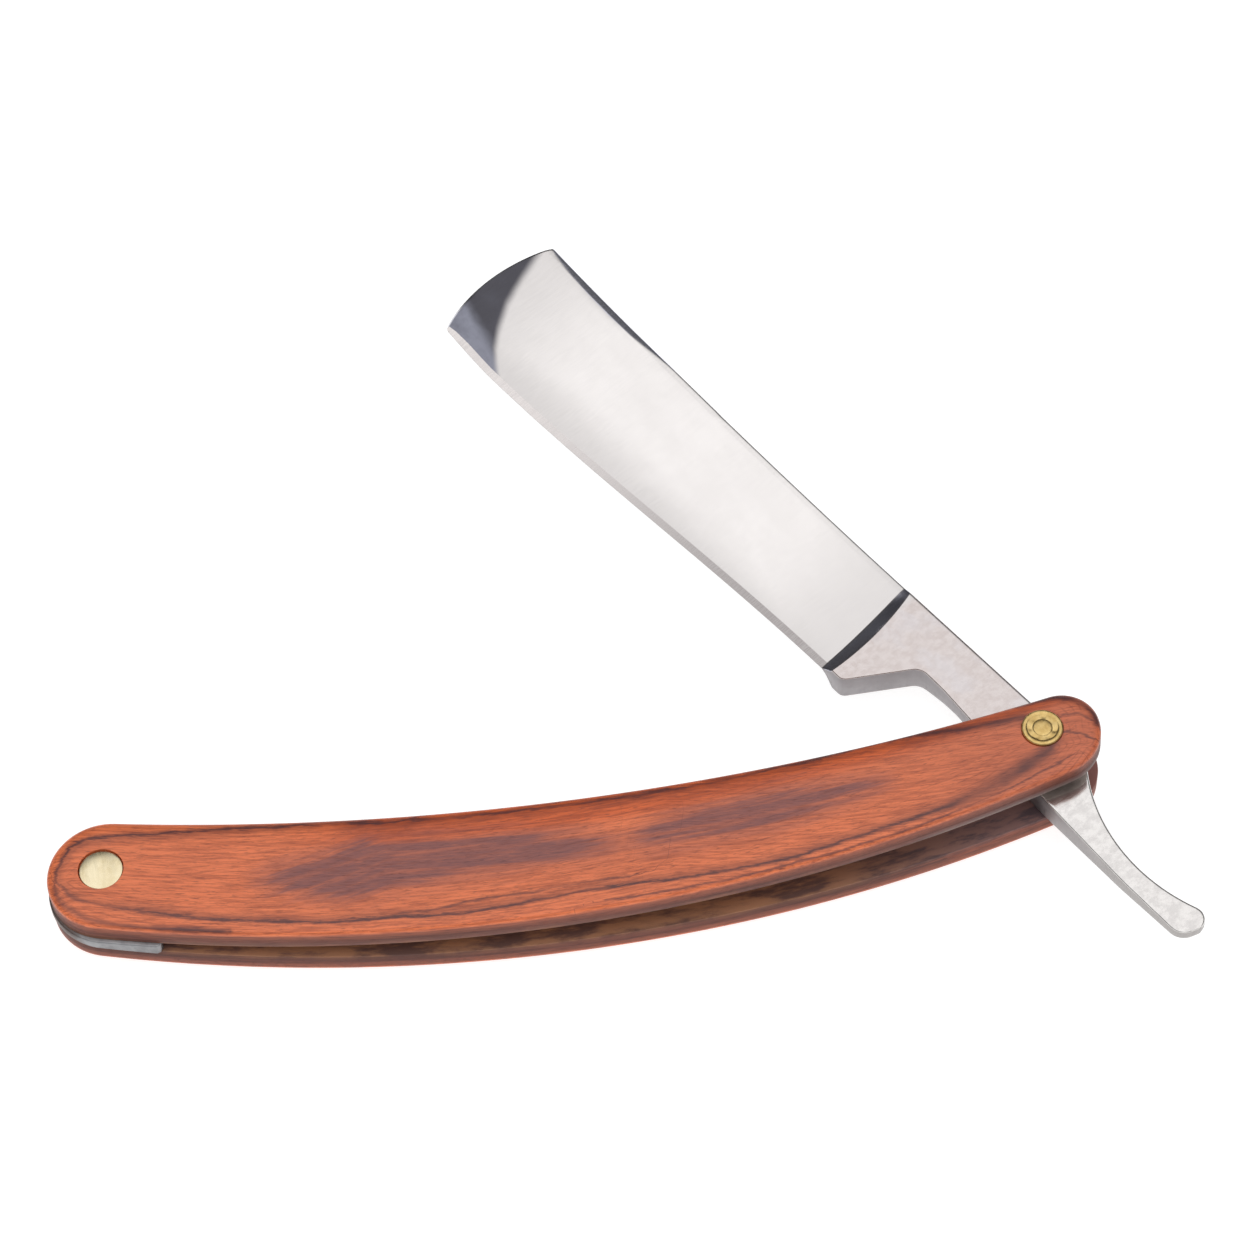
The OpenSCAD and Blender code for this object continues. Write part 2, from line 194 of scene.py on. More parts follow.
def smooth_curve(points, closed=False, steps=8):
    """A Catmull-Rom curve through the points."""
    p = np.array(points, dtype=float)
    if closed:
        p = np.vstack([p[-1], p, p[:2]])
    else:
        p = np.vstack([2 * p[0] - p[1], p, 2 * p[-1] - p[-2]])
    t = np.linspace(0, 1, steps, endpoint=False)[:, None]
    out = []
    for a, b, c, d in zip(p, p[1:], p[2:], p[3:]):
        square = 2 * a - 5 * b + 4 * c - d
        cube = 3 * b - a - 3 * c + d
        out.append(0.5 * (2 * b + (c - a) * t + square * t ** 2 + cube * t ** 3))
    return np.vstack([*out, p[-2:-1]])


def signed_distance(points, curves):
    """Distance to the nearest of several curves, positive on its left."""
    far, tiny = 1e9, 1e-9
    best = np.full(len(points), far)
    side = np.ones(len(points))
    for curve in curves:
        for a, b in zip(curve, curve[1:]):
            ab = b - a
            t = np.clip((points - a) @ ab / max(tiny, ab @ ab), 0, 1)
            away = points - a - t[:, None] * ab
            d = np.hypot(away[:, 0], away[:, 1])
            near = d < best
            best = np.where(near, d, best)
            side = np.where(near, np.sign(ab[0] * away[:, 1] - ab[1] * away[:, 0]), side)
    return best * side


# === meshes

def add_object(name, data):
    ob = bpy.data.objects.new(name, data)
    bpy.context.scene.collection.objects.link(ob)
    return ob


def new_mesh(name, verts, faces):
    """A mesh in metres from vertices in millimetres."""
    me = bpy.data.meshes.new(name)
    me.from_pydata([tuple(float(c) * MM for c in v) for v in verts], [], [tuple(f) for f in faces])
    return me


def new_object(name, verts, faces, body, node, sharp_deg=None):
    """A visible piece on its body, in place of the frame's node."""
    me = new_mesh(name, verts, faces)
    me.validate()
    ob = add_object(name, me)
    shade(me, sharp_deg)
    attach(ob, body)
    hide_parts(node)
    return ob


def shade(me, sharp_deg=None):
    """Smooth shading, broken where faces meet at more than sharp_deg."""
    me.polygons.foreach_set("use_smooth", [True] * len(me.polygons))
    if sharp_deg is not None:
        me.set_sharp_from_angle(angle=math.radians(sharp_deg))


def point_attribute(ob, name, values):
    """Gives each vertex a number or a vector, for the materials to read."""
    kind, key = ("FLOAT", "value") if values.ndim == 1 else ("FLOAT_VECTOR", "vector")
    at = ob.data.attributes.new(name, kind, "POINT")
    at.data.foreach_set(key, np.ascontiguousarray(values, dtype=np.float32).ravel())


def bands(rings, n):
    """Quads between successive closed rings of n points each."""
    return [(k * n + j, k * n + (j + 1) % n, (k + 1) * n + (j + 1) % n, (k + 1) * n + j)
            for k in range(rings - 1) for j in range(n)]


# --- wooden scales

RIM_E, RIM_H, RIM_POWER = 4.6, 1.25, 3.1  # how far in the softened rim reaches, its drop, and its shape
RIM_STEPS, ACROSS = 14, 10  # rings over the rim, and strips across a face
POCKET_STEPS, POCKET_REACH = 96, 40
SCALE_SHARP = 38  # degrees
VIEW_SLANT = 0.69  # the camera's line of sight, in y for each mm of z


def scale_mesh():
    """A scale with its inner face on z = 0: rings up the side and over the rim, then strips across."""
    top = SCALE_T - RIM_H
    rings = [(0.14, 0.0), (0.04, 0.05), (0.0, 0.16), (0.0, 1.2), (0.0, top)]
    for a in np.radians(np.linspace(0, 90, RIM_STEPS + 1)[1:]):
        e = RIM_E * (1 - math.cos(a) ** (2 / RIM_POWER))
        rings.append((e, top + RIM_H * math.sin(a) ** (2 / RIM_POWER)))
    verts = [(x, y, z) for e, z in rings for x, y in handle_outline(e)]
    n = len(verts) // len(rings)
    faces = bands(len(rings), n)

    def strips(first, flip):
        """Quads between opposite points of one ring, cut into ACROSS pieces."""
        rows = {}
        for j in range(1, n // 2 - 1):
            a, b = np.array(verts[first + j]), np.array(verts[first + n - 1 - j])
            rows[j] = [first + j]
            for q in range(1, ACROSS):
                rows[j].append(len(verts))
                verts.append(tuple(a + (b - a) * q / ACROSS))
            rows[j].append(first + n - 1 - j)
        made = [(rows[j][q], rows[j + 1][q], rows[j + 1][q + 1], rows[j][q + 1])
                for j in range(1, n // 2 - 2) for q in range(ACROSS)]
        made.append([first, *rows[1], first + n - 1])
        last = n // 2 - 1
        made.append([*reversed(rows[last - 1]), first + last, first + last + 1])
        faces.extend([list(reversed(f)) if flip else list(f) for f in made])

    strips((len(rings) - 1) * n, False)
    strips(0, True)
    return verts, faces


def placed(points, front):
    """Moves points from a scale's own frame to the part's. The back scale is the mirror image."""
    out = []
    c, s = math.cos(TILT), math.sin(TILT)
    for x, y, z in points:
        px, pz = x * c - z * s, x * s + z * c + HALF_GAP
        out.append((px, y, MID_Z + pz if front else MID_Z - pz))
    return out


def lathe(profile, steps, centre, up=1, lean=0.0, wobble=None):
    """Vertices and faces of a solid of revolution. profile runs from the axis at the bottom to the axis
    at the top. lean tips it all with the scale's face."""
    verts, faces, rows = [], [], []
    for r, z in profile:
        row = []
        for j in range(steps if r > 0 else 1):
            a = 2 * math.pi * j / steps
            x, y = r * math.cos(a), r * math.sin(a)
            dz = wobble(r, a, z) if wobble else 0.0
            row.append(len(verts))
            verts.append((centre[0] + x, centre[1] + y, centre[2] + up * (z + dz + lean * x)))
        rows.append(row)
    for a, b in zip(rows, rows[1:]):
        for j in range(steps):
            k = (j + 1) % steps
            if len(a) == 1:
                f = (a[0], b[k], b[j])
            elif len(b) == 1:
                f = (a[j], a[k], b[0])
            else:
                f = (a[j], a[k], b[k], b[j])
            faces.append(f if up > 0 else tuple(reversed(f)))
    return verts, faces


def cut(ob, radius, x, floor, front):
    """Bores a round pocket into ob at x, from the height floor outwards."""
    low, high = sorted((floor, floor + (POCKET_REACH if front else -POCKET_REACH)))
    profile = [(0, low), (radius, low), (radius, high), (0, high)]
    cutter = add_object("cutter", new_mesh("cutter", *lathe(profile, POCKET_STEPS, (x, 0, 0))))
    mod = ob.modifiers.new("pocket", "BOOLEAN")
    mod.operation, mod.solver, mod.object = "DIFFERENCE", "EXACT", cutter
    bpy.context.view_layer.update()
    done = bpy.data.meshes.new_from_object(ob.evaluated_get(bpy.context.evaluated_depsgraph_get()))
    ob.modifiers.clear()
    old = ob.data
    ob.data = done
    bpy.data.meshes.remove(old)
    bpy.data.objects.remove(cutter)


def build_scale(front):
    """A wooden scale with its two seats bored, and the coordinates that the wood is drawn with."""
    name = "front_scale" if front else "back_scale"
    verts, faces = scale_mesh()
    if not front:
        faces = [tuple(reversed(f)) for f in faces]
    ob = new_object(name + "_wood", placed(verts, front), faces, "handle", name)
    collar_low, collar_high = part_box("front_pivot_collar" if front else "back_pivot_collar")
    cut(ob, COLLAR_R + COLLAR_PLAY, 0, collar_low.z / MM if front else collar_high.z / MM, front)
    seat = math.sin(TILT) * -PIN_DISTANCE + HALF_GAP + SCALE_T - RIVET_SEAT
    cut(ob, RIVET_R + RIVET_PLAY, -PIN_DISTANCE, MID_Z + seat if front else MID_Z - seat, front)
    shade(ob.data, SCALE_SHARP)
    ob.data.materials.clear()

    co = np.zeros(len(ob.data.vertices) * 3)
    ob.data.vertices.foreach_get("co", co)
    along, y, z = co.reshape(-1, 3).T / MM
    clamped = np.clip(along, -PIN_DISTANCE - 4, 5)
    middle = (arc_y(BACK_C, BACK_R, clamped) + arc_y(BELLY_C, BELLY_R, clamped)) / 2
    height = np.abs(z - MID_Z) - HALF_GAP - along * math.tan(TILT)
    across = y - middle
    point_attribute(ob, "grain", np.c_[along, across, height])
    # 1 on the side, fading out where the rim begins, and 1 on the inner face
    point_attribute(ob, "side", np.clip((SCALE_T - RIM_H + 0.35 - height) / 0.5, 0, 1))
    point_attribute(ob, "inner", np.clip(1.4 - height / 0.15, 0, 1))

    # the figure is laid on along the camera's line of sight; the back scale has it end for end
    slanted = across - VIEW_SLANT * (SCALE_T - height)
    flat = np.c_[along, slanted] if front else np.c_[-PIN_DISTANCE + 2 - along, slanted * 0.96 + 0.2]
    figure = {"loop": [smooth_curve(GRAIN_LOOP, closed=True)],
              "broad": [smooth_curve(c) for c in GRAIN_BROAD],
              "thin": [smooth_curve(c) for c in GRAIN_THIN],
              "heart": [smooth_curve(c, closed=True, steps=4) for c in GRAIN_HEART]}
    for attribute, curves in figure.items():
        point_attribute(ob, attribute, signed_distance(flat, curves))
    return ob


# --- metal wedge between the scales

WEDGE_PROUD, WEDGE_END_PROUD, WEDGE_BACK_PROUD = 0.55, 0.12, 0.04  # past the belly, end and back
WEDGE_BEVEL, WEDGE_GAP = 0.22, 0.01


def build_wedge():
    end_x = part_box("wedge")[1].x / MM
    stop_x = end_x - 0.9
    belly_r, back_r = BELLY_R + WEDGE_PROUD, BACK_R + WEDGE_BACK_PROUD
    to_back, to_belly = heading(BACK_C, END_C), heading(BELLY_C, END_C)
    belly_stop = heading(BELLY_C, (stop_x, arc_y(BELLY_C, belly_r, stop_x)))
    back_start = heading(BACK_C, (end_x, arc_y(BACK_C, BACK_R, end_x)))
    belly = arc(BELLY_C, belly_r, to_belly, belly_stop, 14, last=True)
    back = arc(BACK_C, back_r, back_start, to_back, 12, last=True)
    # the round end stands proud a little at the back, and most at the belly
    share = np.linspace(0, 1, 41)
    around = np.radians(np.linspace(to_back + 184, to_belly + 358, len(share)))
    reach = END_R + WEDGE_END_PROUD + (WEDGE_PROUD - WEDGE_END_PROUD) * share ** 3
    end = np.c_[END_C[0] + reach * np.cos(around), END_C[1] + reach * np.sin(around)]
    corner = [(end_x - 0.35, belly[-1][1] + 0.18), (end_x, belly[-1][1] + 0.75)]
    outline = np.vstack([end, belly, corner, back])

    n = len(outline)
    slope = math.tan(TILT)
    centre = outline.mean(0)
    half_rings = [(WEDGE_BEVEL, 0), (WEDGE_BEVEL * 0.3, WEDGE_BEVEL * 0.3), (0, WEDGE_BEVEL)]
    rings = [(-1, *ring) for ring in half_rings] + [(1, *ring) for ring in reversed(half_rings)]
    verts = []
    for side, inset, drop in rings:
        for i, (x, y) in enumerate(outline):
            t = outline[(i + 1) % n] - outline[i - 1]
            nrm = np.array([-t[1], t[0]]) / max(1e-9, np.linalg.norm(t))
            if nrm @ (centre - (x, y)) < 0:
                nrm = -nrm
            x2, y2 = np.array([x, y]) + nrm * inset
            half = HALF_GAP + x2 * slope - WEDGE_GAP - drop
            verts.append((x2, y2, MID_Z + side * half))
    faces = bands(len(rings), n)
    faces.append(list(range(n - 1, -1, -1)))
    faces.append([(len(rings) - 1) * n + j for j in range(n)])
    return new_object("wedge_metal", verts, faces, "handle", "wedge", 50)


# --- collars, pin and rivet heads

RECESS_R = 2.0  # the collar's recess
MARK_RING, MARK_COUNT = 1.75, 7  # radius and number of the hammer marks in it
MARKS_ABOVE = 0.9  # only points above this height are hammered


def build_collar(front):
    """Pivot collar: a sunk ring with a raised rim and a lightly hammered recess."""
    name = "front_pivot_collar" if front else "back_pivot_collar"
    low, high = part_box(name)
    rng = random.Random(7 if front else 8)
    marks = []
    for a in np.linspace(0.4, 6.7, MARK_COUNT + 1)[:-1]:
        x = MARK_RING * math.cos(a) * rng.uniform(0.92, 1.05)
        y = MARK_RING * math.sin(a) * rng.uniform(0.92, 1.05)
        marks.append((x, y, rng.uniform(0.3, 0.5), rng.uniform(0.03, 0.1)))

    def hammered(r, a, z):
        if r > RECESS_R or z < MARKS_ABOVE:
            return 0.0
        x, y = r * math.cos(a), r * math.sin(a)
        return sum(-d * math.exp(-((x - mx) ** 2 + (y - my) ** 2) / (s * s)) for mx, my, s, d in marks)

    t = (high.z - low.z) / MM
    profile = [(0, 0.0), (COLLAR_R - 0.1, 0.0), (COLLAR_R - 0.02, 0.06), (COLLAR_R - 0.01, t - 0.26),
               (COLLAR_R - 0.05, t - 0.12), (COLLAR_R - 0.15, t - 0.03), (COLLAR_R - 0.3, t), (2.3, t - 0.01),
               (2.22, t - 0.035), (2.14, t - 0.075), (2.06, t - 0.11)]
    profile += [(r, t - 0.13 + 0.03 * math.cos((RECESS_R - r) / 1.2 * math.pi / 2))
                for r in np.linspace(RECESS_R, 0.9, 18)]
    profile.append((0, t - 0.1))
    z0 = low.z / MM if front else high.z / MM
    verts, faces = lathe(profile, 120, (0, 0, z0), 1 if front else -1, wobble=hammered)
    return new_object(name + "_brass", verts, faces, "handle", name, 60)


PIN_R, DOME_H = 1.18, 0.3
DOME = [(0.35, 0.298), (0.7, 0.285), (1.0, 0.26), (1.2, 0.22), (1.32, 0.165), (1.39, 0.09), (1.42, 0.0)]


def build_pin():
    """Pivot pin: a rod with a low, slightly worn peened dome on each end."""
    low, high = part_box("pivot_pin")
    low, high = low.z / MM, high.z / MM
    profile = [(0, low)] + [(r, low + DOME_H - z) for r, z in DOME]
    profile += [(PIN_R, low + 0.34), (PIN_R, high - 0.34)]
    profile += [(r, high - DOME_H + z) for r, z in reversed(DOME)] + [(0, high)]
    verts, faces = lathe(profile, 64, (0, 0, 0))
    return new_object("pivot_pin_brass", verts, faces, "handle", "pivot_pin", 50)


HEAD_T = 1.1  # thickness of a rivet head
HEAD_FALL, HEAD_TOP = 0.19, -0.015  # how far its face falls to the rim, and its middle's height


def build_rivet(front):
    """One half of the wedge rivet, its head leaning with the scale."""
    name = "wedge_rivet_front" if front else "wedge_rivet_back"
    top = HALF_GAP + SCALE_T / math.cos(TILT) - PIN_DISTANCE * math.tan(TILT)
    shank, foot = (1.2, -1.5) if front else (1.9, -2.0)
    profile = [(0, foot - top), (shank, foot - top), (shank, -HEAD_T), (2.95, -HEAD_T),
               (2.98, 0.1 - HEAD_T), (2.99, -0.28), (2.95, -0.225)]
    profile += [(r, HEAD_TOP - HEAD_FALL * (r / 2.9) ** 2.6) for r in np.linspace(2.88, 0.3, 16)]
    profile.append((0, HEAD_TOP))
    up = 1 if front else -1
    verts, faces = lathe(profile, 96, (-PIN_DISTANCE, 0, MID_Z + up * top), up, lean=math.tan(TILT))
    return new_object(name + "_brass", verts, faces, "handle", name, 50)


# --- blade

REACH = 114.3  # from the pivot to the tip of the toe
SHOULDER_U = 31.5
EDGE_MID, EDGE_SWING = 14.85, 1.75  # the edge's S-curve: middle and swing,
SWING_U, SWING_RUN = 63.5, 39.5  # where it crosses its middle, and half its length
TOE_FALL, TOE_FALL_RUN = 0.84, 13.3  # how far the edge falls towards the toe, and over what length
TOE_C, TOE_R, TOE_CORNER_R = np.array([92.3, 5.0]), 22.0, 1.0
TOE_CORNER_U, TOE_TIP_DEG = 110.5, 0.8
SPINE_N, SPINE_BOW, SPINE_BOW_U, SPINE_BOW_RUN = -3.5, 1.35, 50, 62
SPINE_T, SPINE_TOE_T = 4.0, 3.0  # thickness of the spine at the shoulder and at the toe
TANG_HALF, TAIL_HALF = 2.2, 0.8  # half the thickness of the tang and of the tail's tip
TAIL_U, TAIL_RUN = -4, 30.9  # where the tail starts to thin, and over what length
TAIL_ARC_C, TAIL_ARC_R = np.array([-21.8, -23.6]), 26.0
CROWN_R, HOLLOW_START = 0.32, 1.3  # rounding of the spine, and where the hollow grind begins
BEVEL_W, BEVEL_HALF, EDGE_HALF = 1.1, 0.2, 0.035
BEVEL_END_U = 111.6  # the bevel stops here, before the toe's corner
SPINE_ROUND, EDGE_ROUND, TOE_ROUND, THINNEST = 0.4, 0.22, 0.22, 0.03
COVE_TANG_U, COVE_BLADE_U = 29.3, 31.2  # stations that follow the two sides of the shoulder's cove
TANG_TO_U, BLADE_FROM_U = 26, 40  # only tang before the first, and only blade after the second
BODY_STEP = 1.0

# [u, n, radius] corners from the shoulder along the edge side to the tail's tip, and of the spine side
EDGE_CORNERS = [[28.3, 13.3, 0], [26.1, 13.3, 1.3], [20.45, 3.75, 2.3], [15.5, 3.8, 14], [8, 4.35, 30],
                [-8, 5.2, 30], [-22, 5.52, 40], [-33.2, 5.3, 2.4], [-34.9, -0.35, 1.9]]
SPINE_CORNERS = [[-3.9, -4.35, 4], [6, -4.05, 20]]

# n and u of the curve where the polished toe begins
TOE_LINE = np.array([[-6, 113.6], [-3.1, 112.96], [1.19, 111.37], [6.49, 108.94], [10.07, 106.38],
                     [12.77, 103.83], [14.79, 101.03], [17, 97.5]])
# u and width of the facet ground on the spine near the toe, and of the bevel before the toe's corner
LENS = np.array([[80, 0], [84, 0.25], [88, 0.7], [92, 1.15], [97, 1.35], [102, 1.3], [107, 1.05],
                 [111, 0.6], [112.2, 0.25]])
BEVEL_TAPER = np.array([[107, BEVEL_W], [110, 0.9], [111.5, 0.6]])
# u, and how much narrower the tang's back face is there than its front face
BACK_FACE = np.array([[4, 0], [10, 0.5], [13, 0.7], [16.7, 0.4], [19.5, 0.05], [21.5, 0]])


def table(rows, u):
    """A table's value at u, in a straight line between its rows."""
    return np.interp(u, rows[:, 0], rows[:, 1])


def edge_n(u):
    fall = TOE_FALL * np.clip(1 - (REACH - u) / TOE_FALL_RUN, 0, 2) ** 1.3
    return EDGE_MID + EDGE_SWING * np.sin(np.pi / 2 * np.clip((u - SWING_U) / SWING_RUN, -1, 1)) - fall


def spine_n(u):
    return SPINE_N - SPINE_BOW * ((u - SPINE_BOW_U) / SPINE_BOW_RUN) ** 2


def toe_u(r, n):
    """u of the toe's circle of radius r, at n."""
    return TOE_C[0] + math.sqrt(r ** 2 - (n - TOE_C[1]) ** 2)


def advancing(chain):
    """The chain without points that lie no further along u than those before them."""
    return chain[np.r_[True, np.diff(np.maximum.accumulate(chain[:, 0])) > 1e-6]]


def chains():
    """The blade's plan as two chains over u: the spine side and the edge side."""
    tail = [[x, TAIL_ARC_C[1] + math.sqrt(TAIL_ARC_R ** 2 - (x - TAIL_ARC_C[0]) ** 2), 0]
            for x in np.arange(-31.6, -5.5, 1.3)]
    shoulder = [SHOULDER_U, spine_n(SHOULDER_U), 0]
    plan = rounded([*EDGE_CORNERS, *tail, *SPINE_CORNERS, shoulder])
    tip = int(plan[:, 0].argmin())
    corner_n = edge_n(TOE_CORNER_U) - TOE_CORNER_R
    corner_u = toe_u(TOE_R - TOE_CORNER_R, corner_n)
    blend = heading(TOE_C, (corner_u, corner_n))
    body_u = np.arange(29.6, corner_u, BODY_STEP)
    edge = np.vstack([plan[:tip + 1][::-1], np.c_[body_u, edge_n(body_u)],
                      arc((corner_u, corner_n), TOE_CORNER_R, 86, blend, 14),
                      arc(TOE_C, TOE_R, blend, TOE_TIP_DEG, 24, last=True)])
    # where the spine meets the toe's arc, closed in on step by step
    meet = 112.0
    for _ in range(20):
        meet = toe_u(TOE_R, spine_n(meet))
    body_u = np.arange(SHOULDER_U + BODY_STEP, meet - 0.3, BODY_STEP)
    start = heading(TOE_C, (meet, spine_n(meet))) + TOE_TIP_DEG
    spine = np.vstack([plan[tip:], np.c_[body_u, spine_n(body_u)], [[meet, spine_n(meet)]],
                       arc(TOE_C, TOE_R, start, -TOE_TIP_DEG, 24, last=True)])
    return advancing(spine), advancing(edge)


SPINE_CHAIN, EDGE_CHAIN = chains()


def cove_tang(n):
    """u of the cove's tang side: a shallow curve through three points."""
    return 29.75 - 0.275 * (n + 0.2) + 0.0107 * (n + 0.2) ** 2


def cove_blade(n):
    """u of the cove's blade side, a straight line."""
    return 32.0 - 0.101 * (n + 2.8)


def toe_depth(u, n):
    """How far a point lies past the curve where the polished toe begins."""
    return u - table(TOE_LINE, n)


def rounding(x, r):
    """How far a corner rounded by r lies below its face, x in from the side."""
    x = np.clip(x, 0, r)
    return r - np.sqrt(r * r - (r - x) ** 2)


def tang_height(u, d, w):
    """Half thickness of the tang and tail, d in from the spine side where it is w wide."""
    q = np.clip((TAIL_U - u) / TAIL_RUN, 0, 1)
    t = TAIL_HALF + (TANG_HALF - TAIL_HALF) * (1 - q) ** 1.25
    return t - rounding(d, SPINE_ROUND) - rounding(w - d, EDGE_ROUND)


def blade_height(u, n):
    """Half thickness of the blade: crowned spine, hollow grind, bevel and facets."""
    d = n - spine_n(u)
    w = edge_n(u) - spine_n(u)
    h = (SPINE_T + (SPINE_TOE_T - SPINE_T) * (u - SHOULDER_U) / (REACH - SHOULDER_U)) / 2
    wide = table(BEVEL_TAPER, u)
    q = np.clip((d - HOLLOW_START) / (w - wide - HOLLOW_START), 0, 1)
    hollow = BEVEL_HALF + (h - BEVEL_HALF) * (1 - q) ** 1.9
    bevel = EDGE_HALF + (BEVEL_HALF - EDGE_HALF) * np.clip((w - d) / wide, 0, 1)
    z = np.where(d < HOLLOW_START, h - rounding(d, CROWN_R), np.where(d < w - wide, hollow, bevel))
    z = z - np.clip(table(LENS, u) - d, 0, 2) * 0.2
    # the toe is ground thinner, and its rim is eased
    past = np.clip(toe_depth(u, n) / 12, 0, 1)
    z = z * (1 - 0.3 * past * np.clip((w - wide - d) / 6, 0, 1))
    rim = np.clip(TOE_ROUND - (TOE_R - np.hypot(u - TOE_C[0], n - TOE_C[1])), 0, TOE_ROUND)
    return np.maximum(z - rim * 0.3 * np.clip((13.5 - n) / 3, 0, 1), THINNEST)


def stations():
    """Where along u the mesh has a cross section: closest where the plan turns quickly."""
    tip = SPINE_CHAIN[0, 0]
    toe_angles = np.radians(np.linspace(27.5, 1.2, 30))
    u = np.concatenate([
        tip + np.array([0.012, 0.045, 0.1, 0.18, 0.28]), np.linspace(tip + 0.4, -32, 14),
        np.arange(-31.5, 18, 1.0), np.arange(18, 28.2, 0.25), [28.4, 28.7, 29.0],
        np.linspace(COVE_TANG_U, COVE_BLADE_U, 11), [SHOULDER_U, 32, 33, 34, 35, 36.5],
        np.arange(38, 96, 1.0), np.arange(96, 108, 0.5), np.arange(108, BEVEL_END_U, 0.15),
        TOE_C[0] + TOE_R * np.cos(toe_angles)])
    return np.unique(np.round(u, 4))


def sheared(u, n):
    """Leans the stations so that two of them follow the sides of the cove."""
    stops = [24, COVE_TANG_U, COVE_BLADE_U, BLADE_FROM_U]
    tang, blade = cove_tang(n) - COVE_TANG_U, cove_blade(n) - COVE_BLADE_U
    return u + np.interp(u, stops, [0, 1, 0, 0]) * tang + np.interp(u, stops, [0, 0, 1, 0]) * blade


# columns of a cross section: from the spine side, between, and back from the edge side
SPINE_COLS = np.array([0, 0.05, 0.13, 0.22, 0.32, 0.55, 0.8, 1.05, HOLLOW_START])
MIDDLE_COLS = 14
EDGE_COLS = np.array([BEVEL_W, 0.75, 0.42, 0.22, 0.11, 0.03, 0.0])
FACE, SIDE, BEVEL = 0, 1, 2  # places of the three steels in the blade's material list


def columns(u0, w, n_high):
    """Distances from the spine side at which a cross section w wide has its points."""
    squeeze = min(1, w / 3.2)
    wide = table(BEVEL_TAPER, u0)
    if u0 >= 97:
        wide = max(0.1, n_high - edge_n(u0) + wide)
    first, last = SPINE_COLS * squeeze, w - EDGE_COLS * squeeze * wide / BEVEL_W
    share = np.arange(1, MIDDLE_COLS + 1)
    between = first[-1] + (last[0] - first[-1]) * share / (MIDDLE_COLS + 1)
    return np.concatenate([first, between, last])


def build_blade():
    """The blade: a ring of points at every station, along the front face and back along the other."""
    angle = math.radians(180 - OPEN_ANGLE)
    ca, sa = math.cos(angle), math.sin(angle)
    verts, grain, mark = [], [], []
    rows = stations()
    for u0 in rows:
        n_low, n_high = table(SPINE_CHAIN, u0), table(EDGE_CHAIN, u0)
        for _ in range(12):
            n_low = table(SPINE_CHAIN, sheared(u0, n_low))
            n_high = table(EDGE_CHAIN, sheared(u0, n_high))
        w = n_high - n_low
        cols = columns(u0, w, n_high)
        narrow = table(BACK_FACE, u0)
        for side in (1, -1):
            ns = n_low + cols * (1 if side > 0 else (w - narrow) / w)
            us = sheared(u0, ns)
            # s runs from 0 on the tang's side of the cove to 1 on the blade's side
            s = np.clip((us - cove_tang(ns)) / (cove_blade(ns) - cove_tang(ns)), 0, 1)
            if u0 < TANG_TO_U:
                s = s * 0
            if u0 > BLADE_FROM_U:
                s = s * 0 + 1
            thick = tang_height(us, cols, w)
            if u0 > 33:
                thin = blade_height(u0, ns)
            else:
                thin = np.array([blade_height(a, b) for a, b in zip(np.maximum(us, 29), ns)])
            z = thin + (thick - thin) * (1 - s) * (1 - 0.25 * s)
            cove = np.clip(np.minimum(s * 9, (1 - s) * 7), 0, 1)
            order = range(len(cols)) if side > 0 else range(len(cols) - 1, -1, -1)
            for i in order:
                u, n = us[i], ns[i]
                verts.append((ca * u - sa * n, sa * u + ca * n, MID_Z + side * z[i]))
                grain.append((u, n, side * z[i]))
                facet = table(LENS, u0) - (n - spine_n(u)) if side > 0 and u0 > BLADE_FROM_U else -1
                mark.append((cove[i], toe_depth(u, n) if u0 > 90 else -20, facet))

    c = len(SPINE_COLS) + MIDDLE_COLS + len(EDGE_COLS)
    m = 2 * c
    bevel_top, bevel_low = c - len(EDGE_COLS), c + len(EDGE_COLS) - 1
    faces = bands(len(rows), m)
    kinds, sharp = [], set()
    for k in range(len(rows) - 1):
        bevelled = COVE_BLADE_U < (rows[k] + rows[k + 1]) / 2 < BEVEL_END_U
        for j in range(m):
            if j in (c - 1, m - 1):
                kinds.append(SIDE)
            elif bevelled and min(j, m - 2 - j) >= bevel_top:
                kinds.append(BEVEL)
            else:
                kinds.append(FACE)
        if rows[k] >= COVE_BLADE_U:
            sharp.update((k * m + col, (k + 1) * m + col) for col in (bevel_top, bevel_low))
    faces.append(list(range(m - 1, -1, -1)))
    faces.append([(len(rows) - 1) * m + j for j in range(m)])
    kinds += [SIDE, SIDE]
    for u in (COVE_TANG_U, COVE_BLADE_U):
        station = int(np.argmin(np.abs(rows - u))) * m
        sharp.update(tuple(sorted((station + j, station + (j + 1) % m))) for j in range(m))

    ob = new_object("blade_steel", verts, faces, "blade", "blade", 32)
    for e in ob.data.edges:
        if tuple(sorted(e.vertices)) in sharp:
            e.use_edge_sharp = True
    mark = np.array(mark)
    point_attribute(ob, "grain", np.array(grain))
    point_attribute(ob, "cove", mark[:, 0])
    point_attribute(ob, "toe", mark[:, 1])
    point_attribute(ob, "facet", np.clip(mark[:, 2], -1, 1))
    ob.data.polygons.foreach_set("material_index", kinds)
    return ob


# === materials

